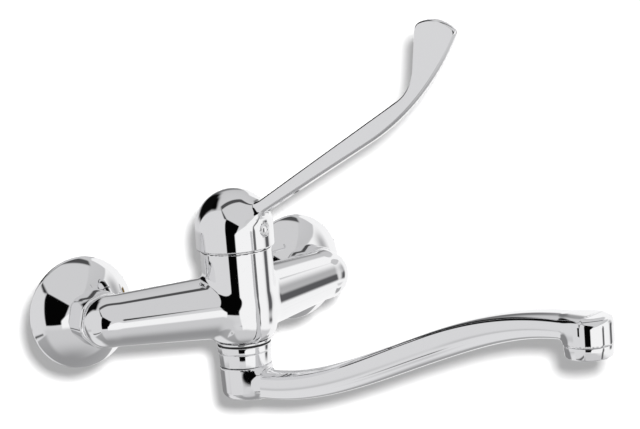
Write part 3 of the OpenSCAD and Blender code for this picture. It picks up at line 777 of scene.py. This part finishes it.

# %% Collar and its seal, a black ring that also paints the shade in the groove
collar_top = -body_low - 0.8
collar_bot = collar_top - 14.8
ring_bot = collar_top - 1.3
band_top = ring_bot - 1.1
band_bot = band_top - 4.0
band_r = 16.1
collar_r = 15.6
collar_taper = 0.25
collar_thread_r = 12.7
lip_r = 9.35
lip_top = collar_bot + 2.4
seal_in = band_r - 1.6
seal_out = band_r - 0.25
seal_play = 0.05
collar_profile = rounded([
    (collar_thread_r, collar_top, 0.3), (band_r, collar_top, 0.5), (band_r, ring_bot, 0.4),
    (seal_in, ring_bot, 0.1), (seal_in, band_top, 0.1), (band_r, band_top, 0.5),
    (band_r, band_bot, 0.5), (collar_r - 0.5, band_bot - 0.2, 0.05), (collar_r, band_bot - 0.7, 0.3),
    (collar_r - collar_taper, collar_bot, 0.6), (lip_r, collar_bot, 0.2), (lip_r, lip_top, 0.2),
    (collar_thread_r, lip_top, 0.2)])
dress(spin("collar_ring", collar_profile, tower_place), "base", chrome, "polished_chrome", "collar_nut")

# The seal is real rubber. Its black also paints the shade of the gap between the collar's ring and its band.
groove_shade_seal_profile = rounded([
    (seal_in + seal_play, band_top + seal_play, 0.1), (seal_in + seal_play, ring_bot - seal_play, 0.1),
    (seal_out, ring_bot - seal_play, 0.3), (seal_out, band_top + seal_play, 0.3)])
dress(spin("collar_seal_and_painted_shade", groove_shade_seal_profile[::-1], tower_place), "base", rubber, "black_rubber")

# %% Aerator housing
aerator_r = 12.9
aerator_tip_r = 12.3
aerator_thread_r = 11.6
aerator_bore = 10.0
aerator_lip_r = 9.0
aerator_seam = nose_low - 0.1
aerator_top = nose_low + 4.6
aerator_low = nose_low - 6.7
aerator_lip = aerator_low + 1.2
aerator_profile = rounded([
    (aerator_bore, aerator_top, 0.2), (aerator_thread_r, aerator_top, 0.3),
    (aerator_thread_r, aerator_seam, 0.05), (aerator_r, aerator_seam, 0.4), (aerator_r, nose_low - 2, 0.6),
    (aerator_tip_r, aerator_low, 0.8), (aerator_lip_r, aerator_low, 0.4), (aerator_lip_r, aerator_lip, 0.3),
    (aerator_bore, aerator_lip, 0.2)])
aerator = spin("aerator_ring", aerator_profile, outlet_place)
dress(aerator, "swivel_spout", chrome, "polished_chrome", "aerator_housing")

# %% [markdown]
# ## The plug in the cap
# A round plug hides the screw that clamps the cap to its stem. It has a raised rim and a dished middle, so
# chrome shows it as rings of light and dark. It is spun too, about the line that points straight out of the
# cap. The profile starts and ends on that line, so the doubled points there are welded into one.

# %% Plug
plug_r = 3.8
plug_steps = 64
weld = 0.001 * MM
plug_place = (tower_place @ Matrix.Translation((0, 0, plug_up)) @ Matrix.Rotation(lever_turn, 4, "Z")
              @ Matrix.Rotation(math.radians(90), 4, "X"))
plug_profile = rounded([
    (0, plug_seat, 0), (plug_r, plug_seat, 0.2), (plug_r, cap_r - 0.4, 0.3),
    (plug_r - 0.5, cap_r + 0.3, 0.3), (plug_r - 1.2, cap_r + 0.2, 0.3),
    (plug_r - 1.7, cap_r - 0.5, 0.4), (0, cap_r - 0.8, 0)])
plug = spin("cap_plug", plug_profile, plug_place, plug_steps)
work = bmesh.new()
work.from_mesh(plug.data)
bmesh.ops.remove_doubles(work, verts=work.verts, dist=weld)
work.to_mesh(plug.data)
work.free()
dress(plug, "elbow_lever", chrome, "polished_chrome", "index_plug")

# %% [markdown]
# ## Union nuts
# Each nut pulls the tap against its wall union. It is turned from hexagon bar, so its six flats run into
# round chamfers at both ends. A cylinder cut by three pairs of planes and two rounded ends says just that.

# %% Union nuts
nut_r = 16.7
nut_flat = 15.9
nut_corner = 0.5
nut_turn = -15.0
nut_from = 15.9
nut_to = 32.2
nut_chamfer = 1.6
nut_lip_r = 9.5
nut_thread_r = 13.2
nut_thread_end = 28.4
nut_cell = 0.6
small_spare = 2.0


def nut_field(x, y, z, side):
    s, u = x - side * half_pitch, z - axis_z
    q = np.hypot(s, u)
    d = q - nut_r
    for i in range(3):
        a = math.radians(60 * i + nut_turn)
        d = soft_max(d, np.abs(s * math.cos(a) + u * math.sin(a)) - nut_flat, nut_corner)
    d = soft_max(soft_max(d, nut_from + y, nut_chamfer), -nut_to - y, nut_chamfer)
    d = soft_max(d, nut_lip_r - q, cast_edge)
    return bored(d, np.maximum(q - nut_thread_r, -nut_thread_end - y))


for side, word in SIDES:
    cast(word + "_nut", lambda x, y, z: nut_field(x, y, z, side), word + "_union_nut", nut_cell, small_spare,
         "base", chrome, "polished_chrome")

# %% [markdown]
# ## Wall unions
# Behind the rosettes a cranked union joins each pipe to its nut: it has a wall thread, a hexagon for the
# spanner and a crank that sets the two ends off from each other, so the fitter can turn it to meet the pipes.
# It shows from behind only. It is forged and turned, so it is one more field, with the bores cut through.

# %% Wall unions
drop = 8.0
thread_crest = 10.48
thread_ridge = 0.75
thread_len = 16.0
thread_end = 0.8
hex_span = (1.0, 6.0)
hex_flat = 13.0 * math.cos(math.radians(30))
hex_round = hex_flat / 0.9
hex_end = 0.5
hex_corner = 0.4
hex_join = 0.3
crank_r = 12.4
crank_end = 11.0
crank_join = 0.6
union_thread_r = 13.1
union_end = 23.5
wall_bore_r = 7.5
wall_bore_end = 9.0
tap_bore_r = 8.5
tap_bore_end = 7.5
bore_rim = 0.5
union_cell = 0.8


def union_field(x, y, z, side):
    s, u = x - side * half_pitch, z - axis_z
    w = u - drop
    to_wall, to_tap = np.hypot(s, w), np.hypot(s, u)
    d = cylinder(to_wall, thread_crest - thread_ridge, -hex_span[1] - y, y - thread_len, thread_end)
    spanner = cylinder(to_wall, hex_round, -hex_span[1] - y, hex_span[0] + y, hex_end)
    for a in np.radians((30, 90, 150)):
        spanner = soft_max(spanner, np.abs(s * math.cos(a) + w * math.sin(a)) - hex_flat, hex_corner)
    d = soft_min(d, spanner, hex_join)
    for away, r, end in ((to_wall, crank_r, crank_end), (to_tap, union_thread_r, union_end)):
        d = soft_min(d, cylinder(away, r, -end - y, hex_span[1] + y, crank_join), crank_join)
    d = bored(d, np.maximum(to_wall - wall_bore_r, -wall_bore_end - y), bore_rim)
    return bored(d, np.maximum(to_tap - tap_bore_r, tap_bore_end + y), bore_rim)


for side, word in SIDES:
    cast(word + "_union", lambda x, y, z: union_field(x, y, z, side), word + "_wall_union", union_cell,
         small_spare, "base", brass, "bare_brass")

# %% [markdown]
# ## Threads
# The wall threads follow a rule: one ridge that climbs by its pitch on each turn. Geometry Nodes draw it as a
# spiral with a small square section set on its corner, and put a copy on each union. All sizes are named
# inputs, so a finer thread is a change of two numbers. The tree realises its copies, and the result becomes
# a plain mesh.

# %% Thread tree
thread_pitch = 1.814
thread_turns = 8.0
thread_from = 1.0
steps_per_turn = 48
THREAD_SIZES = (
    ("Crest radius", "NodeSocketFloat", thread_crest * MM),
    ("Ridge", "NodeSocketFloat", thread_ridge * MM),
    ("Pitch", "NodeSocketFloat", thread_pitch * MM),
    ("Turns", "NodeSocketFloat", thread_turns),
    ("First place", "NodeSocketVector", (-half_pitch * MM, thread_from * MM, 0)),
    ("Spacing", "NodeSocketVector", (2 * half_pitch * MM, 0, 0)),
    ("Metal", "NodeSocketMaterial", brass),
)
thread = bpy.data.node_groups.new("wall_thread", "GeometryNodeTree")
sockets = [thread.interface.new_socket(label, in_out="INPUT", socket_type=kind)
           for label, kind, _ in THREAD_SIZES]
thread.interface.new_socket("Geometry", in_out="OUTPUT", socket_type="NodeSocketGeometry")
given = add(thread, "NodeGroupInput").outputs
climb = add(thread, "ShaderNodeMath", {0: given["Pitch"], 1: given["Turns"]}, operation="MULTIPLY")
root = add(thread, "ShaderNodeMath", {0: given["Crest radius"], 1: given["Ridge"]}, operation="SUBTRACT")
spiral = add(thread, "GeometryNodeCurveSpiral", {
    "Resolution": steps_per_turn, "Rotations": given["Turns"], "Start Radius": root.outputs[0],
    "End Radius": root.outputs[0], "Height": climb.outputs[0]})
outward = add(thread, "GeometryNodeSetCurveNormal", {"Curve": spiral.outputs["Curve"]}, mode="Z_UP")
section = add(thread, "GeometryNodeCurvePrimitiveCircle", {"Resolution": 4, "Radius": given["Ridge"]})
ridge = add(thread, "GeometryNodeCurveToMesh", {
    "Curve": outward.outputs["Curve"], "Profile Curve": section.outputs["Curve"], "Fill Caps": True})
places = add(thread, "GeometryNodeMeshLine", {
    "Count": len(SIDES), "Start Location": given["First place"], "Offset": given["Spacing"]})
copies = add(thread, "GeometryNodeInstanceOnPoints", {
    "Points": places.outputs["Mesh"], "Instance": ridge.outputs["Mesh"],
    "Rotation": (math.radians(-90), 0, 0)})
real = add(thread, "GeometryNodeRealizeInstances", {"Geometry": copies.outputs["Instances"]})
metal = add(thread, "GeometryNodeSetMaterial", {
    "Geometry": real.outputs["Geometry"], "Material": given["Metal"]})
add(thread, "NodeGroupOutput", {"Geometry": metal.outputs["Geometry"]})
print(f"thread: {thread_turns:.0f} turns of {thread_pitch} mm")

# %% Thread mesh
threads = bpy.data.objects.new("union_threads", bpy.data.meshes.new("union_threads"))
scene.collection.objects.link(threads)
modifier = threads.modifiers.new("wall_thread", "NODES")
modifier.node_group = thread
for socket, (_, _, value) in zip(sockets, THREAD_SIZES):
    modifier[socket.identifier] = value
drawn = bpy.data.meshes.new_from_object(threads.evaluated_get(bpy.context.evaluated_depsgraph_get()))
threads.modifiers.remove(modifier)
threads.data = drawn
print(f"union_threads: {len(drawn.polygons)} faces")
dress(threads, "base", brass, "bare_brass")

# %% [markdown]
# ## Camera
# The photograph was taken from the front left, a little above, with a long lens. The place and the turns of
# the camera were found by laying the tap's outline over the photograph, with the inlets 150 mm apart.

# %% Camera
view_w = 640
focal_px = 1941.72
yaw, pitch, roll = 0.563983, 0.189206, -0.078716
stand = Vector((-0.55402, -1.03098, 0.25545))
camera = bpy.data.objects.new("camera", bpy.data.cameras.new("camera"))
camera.data.sensor_width = 36.0
camera.data.lens = focal_px * camera.data.sensor_width / view_w
right = Vector((math.cos(yaw), -math.sin(yaw), 0))
ahead = Vector((math.sin(yaw), math.cos(yaw), 0))
forward = math.cos(pitch) * ahead - Vector((0, 0, math.sin(pitch)))
up = math.sin(pitch) * ahead + Vector((0, 0, math.cos(pitch)))
cam_x = math.cos(roll) * right + math.sin(roll) * up
cam_y = -math.sin(roll) * right + math.cos(roll) * up
camera.matrix_world = Matrix((cam_x, cam_y, -forward)).transposed().to_4x4()
camera.location = stand
scene.collection.objects.link(camera)
scene.camera = camera
print(f"a {camera.data.lens:.0f} mm lens, {stand.length:.2f} m from the inlets")

# %% [markdown]
# ## The studio
# Chrome has almost no colour of its own: what it shows is the room. A product photographer stands a tap in a
# tent of white and grey panels, and the dark gaps between them draw its curves. The tent could be built from
# planes, but they would then be in the way of every other view. So it is painted on the world instead, by
# direction. A straight edge of a panel, seen from the tap, is a plane through the tap, so each edge costs
# one dot product. Corners are given as azimuth from the front, positive to the right, and elevation.

# %% Panels by direction
world = bpy.data.worlds.new("studio")
scene.world = world
world.use_nodes = True
studio = world.node_tree
studio.nodes.clear()
look = add(studio, "ShaderNodeTexCoord").outputs["Generated"]


def toward(azimuth, elevation):
    """Unit vector to a place in the room, from angles in degrees."""
    a, e = math.radians(azimuth), math.radians(elevation)
    return Vector((math.sin(a) * math.cos(e), -math.cos(a) * math.cos(e), math.sin(e)))


def hang_panel(room, corners, tone, soft):
    """Hangs a flat panel of one grey tone in the room, with edges that are soft over some degrees."""
    spots = [toward(*c) for c in corners]
    middle = sum(spots, Vector((0, 0, 0)))
    half_soft = math.sin(math.radians(soft) / 2)
    cover = 1.0
    for a, b in zip(spots, spots[1:] + spots[:1]):
        inward = a.cross(b).normalized()
        inward *= math.copysign(1, inward.dot(middle))
        past = add(studio, "ShaderNodeVectorMath", {0: look, 1: inward}, operation="DOT_PRODUCT")
        edge = add(studio, "ShaderNodeMapRange", {
            "Value": past.outputs["Value"], "From Min": -half_soft, "From Max": half_soft},
            interpolation_type="SMOOTHSTEP")
        both = add(studio, "ShaderNodeMath", {0: edge.outputs["Result"], 1: cover}, operation="MULTIPLY")
        cover = both.outputs["Value"]
    mix = add(studio, "ShaderNodeMix", {"Factor": cover, "A": room, "B": linear(tone)}, data_type="RGBA")
    return mix.outputs["Result"]


height = add(studio, "ShaderNodeSeparateXYZ", {"Vector": look}).outputs["Z"]
share = add(studio, "ShaderNodeMapRange", {"Value": height, "From Min": -1.0, "From Max": 1.0})
wall = add(studio, "ShaderNodeValToRGB", {"Fac": share.outputs["Result"]})
wall.color_ramp.elements[0].color = linear("#A2A2A3")
wall.color_ramp.elements[1].color = linear("#D4D4D5")
for level, tone in ((0.23, "#AEAEAF"), (0.26, "#DCDCDD"), (0.5, "#DCDCDD"), (0.75, "#CACACB")):
    wall.color_ramp.elements.new(level).color = linear(tone)
print(f"bare walls in {len(wall.color_ramp.elements)} tones from floor to ceiling")

# %% [markdown]
# ## The panels
# Each panel has a tone, the softness of its edges in degrees, and its corners. A later panel hangs in front
# of an earlier one. The black gap round the lens draws the dark line down the tower, the white panels light
# the right-hand sides, and the cards and seams draw the thinner lines.

# %% Hang the panels
PANELS = (
    ("black gap round the lens", "#040404", 2,
     ((-62, 42), (-57, -18), (-29, -18), (104, 40), (90, 60), (10, 44))),
    ("dark corner behind on the left", "#060606", 12,
     ((-168, 4), (-138, 33), (-112, 48), (-118, 56), (-150, 60), (-178, 54), (174, 30))),
    ("dim wall behind", "#7A7A7B", 14, ((140, 8), (140, 26), (178, 30), (178, 6))),
    ("dark wall behind", "#0C0C0C", 10, ((163, 8), (166, 40), (-160, 50), (-132, 40), (-146, 6))),
    ("light panel on the left", "#E0E0E1", 2.5,
     ((-57, -30), (-57, 30), (-70, 46), (-95, 58), (-130, 39), (-147, 12), (-160, -8), (-163, -30),
      (-107, -45))),
    ("light panel overhead", "#D6D6D7", 2.5,
     ((-57, 35), (-24, 18), (-9.5, 7), (16, 27), (69, 52), (90, 66), (-95, 62), (-70, 48))),
    ("white panel in front", "#FFFFFF", 3,
     ((-31, -44), (-31, -12), (-22, -3), (-9, 3), (10, 13), (10, -44))),
    ("white panel on the right", "#FFFFFF", 3,
     ((8, -42), (8, 12), (29, 21), (68, 27), (68, -42), (38, -46))),
    ("white panel further right", "#FFFFFF", 3, ((66, -42), (66, 27), (91, 30), (91, -42))),
    ("white panel behind on the right", "#FFFFFF", 3,
     ((90, 30), (94, 52), (136, 46), (150, 6), (158, -4), (158, -36), (124, -42), (90, -42))),
    ("seam overhead", "#505051", 4, ((-88, 57), (74, 50), (88, 52), (-110, 62))),
    ("seam on the left", "#3A3A3B", 4, ((-52, 33), (-61, 34), (-102, 60), (-90, 58))),
    ("floor in front", "#D2D2D3", 8, ((-62, -24), (-20, -24), (30, -28), (80, -28), (0, -89))),
    ("floor under the tap", "#9A9A9B", 50,
     ((-90, -58), (-30, -58), (30, -58), (90, -58), (150, -58), (-150, -58))),
    ("lit floor behind on the left", "#E6E6E7", 14,
     ((-112, -24), (-150, -24), (170, -24), (170, -66), (-112, -66))),
    ("edge of the floor on the left", "#5A5A5B", 3, ((-66, -30), (-66, -33), (-112, -37), (-112, -33))),
    ("faint line low on the left", "#C6C6C7", 7, ((-112, -19), (-112, -24), (-150, -24), (-150, -19))),
    ("grey card low behind", "#8A8A8B", 10, ((-144, -11), (-140, -34), (152, -34), (158, -11))),
    ("slit on the right", "#6A6A6B", 3, ((24, 2), (28, 4), (33, -14), (31, -40), (17, -40), (23, -14))),
    ("shade over the card", "#B4B4B5", 22, ((66, -14), (66, 22), (86, 22), (86, -14))),
    ("grey card on the right", "#5C5C5E", 8, ((68, -18), (68, 0), (84, 0), (84, -18))),
)
room = wall.outputs["Color"]
for _, tone, soft, corners in PANELS:
    room = hang_panel(room, corners, tone, soft)
lit = add(studio, "ShaderNodeBackground", {"Color": room, "Strength": 1.0})
white = add(studio, "ShaderNodeBackground", {"Color": (1, 1, 1, 1), "Strength": 1.0})
ray = add(studio, "ShaderNodeLightPath")
seen = add(studio, "ShaderNodeMixShader", {
    "Fac": ray.outputs["Is Camera Ray"], 1: lit.outputs[0], 2: white.outputs[0]})
add(studio, "ShaderNodeOutputWorld", {"Surface": seen.outputs[0]})
print(len(PANELS), "panels hang in the studio")

# %% [markdown]
# ## Backdrop, floor and shadow
# The photograph has a soft shadow a little left of and below the tap, all at one distance, as a lamp close to
# the lens throws on paper far behind. A small lamp beside the camera does the same here. Light linking keeps
# it on the paper, so the chrome never mirrors it, and the paper is just white where the lamp reaches it.
# The floor lies well below. Most of its white is its own for camera rays, so it stays pale from every side
# and still takes a shadow. Seen from below, both let the view through.

# %% Paper
def paper(name, tone, own_light):
    """Matt paper that glows a little for the camera alone and is clear from its back."""
    material = bpy.data.materials.new(name)
    material.use_nodes = True
    tree = material.node_tree
    tree.nodes.clear()
    matt = add(tree, "ShaderNodeBsdfDiffuse", {"Color": linear(tone)})
    glow = add(tree, "ShaderNodeEmission", {"Strength": 1.0})
    ray = add(tree, "ShaderNodeLightPath")
    share = add(tree, "ShaderNodeMath", {0: ray.outputs["Is Camera Ray"], 1: own_light}, operation="MULTIPLY")
    front = add(tree, "ShaderNodeMixShader", {
        "Fac": share.outputs[0], 1: matt.outputs[0], 2: glow.outputs[0]})
    facing = add(tree, "ShaderNodeNewGeometry")
    back = add(tree, "ShaderNodeBsdfTransparent")
    both = add(tree, "ShaderNodeMixShader", {
        "Fac": facing.outputs["Backfacing"], 1: front.outputs[0], 2: back.outputs[0]})
    add(tree, "ShaderNodeOutputMaterial", {"Surface": both.outputs[0]})
    return material


def lay_sheet(name, corners, material):
    """A flat sheet that the chrome doesn't mirror and that sends no light back to it."""
    mesh = bpy.data.meshes.new(name)
    mesh.from_pydata([tuple(c) for c in corners], [], [(0, 1, 2, 3)])
    mesh.materials.append(material)
    sheet = bpy.data.objects.new(name, mesh)
    scene.collection.objects.link(sheet)
    sheet.visible_glossy = False
    sheet.visible_diffuse = False
    return sheet


paper_distance = 4.2
paper_half = (0.9, 0.65)
floor_half = 12.0
floor_z = -1.1
CORNER_SIGNS = ((-1, -1), (1, -1), (1, 1), (-1, 1))
middle = camera.location + forward * paper_distance
backdrop = lay_sheet("backdrop", [middle + cam_x * paper_half[0] * a + cam_y * paper_half[1] * b
                                  for a, b in CORNER_SIGNS], paper("matt_white_paper", "#D8D8D8", 0.0))
lay_sheet("floor", [(floor_half * a, floor_half * b, floor_z) for a, b in CORNER_SIGNS],
          paper("matt_white_floor", "#F4F4F4", 0.85))
print(f"paper {paper_distance} m from the lens, floor {-floor_z} m below the inlets")

# %% Lamp
lamp_offset = (0.0072, 0.0105)
lamp = bpy.data.objects.new("lamp", bpy.data.lights.new("lamp", "SPOT"))
lamp.data.energy = 900.0
lamp.data.shadow_soft_size = 0.006
lamp.data.spot_size = math.radians(60)
lamp.matrix_world = camera.matrix_world.copy()
lamp.location = camera.location + cam_x * lamp_offset[0] + cam_y * lamp_offset[1]
scene.collection.objects.link(lamp)
papers = bpy.data.collections.new("papers")
papers.objects.link(backdrop)
lamp.light_linking.receiver_collection = papers
print(f"a lamp of {lamp.data.energy:.0f} W lights the backdrop alone")
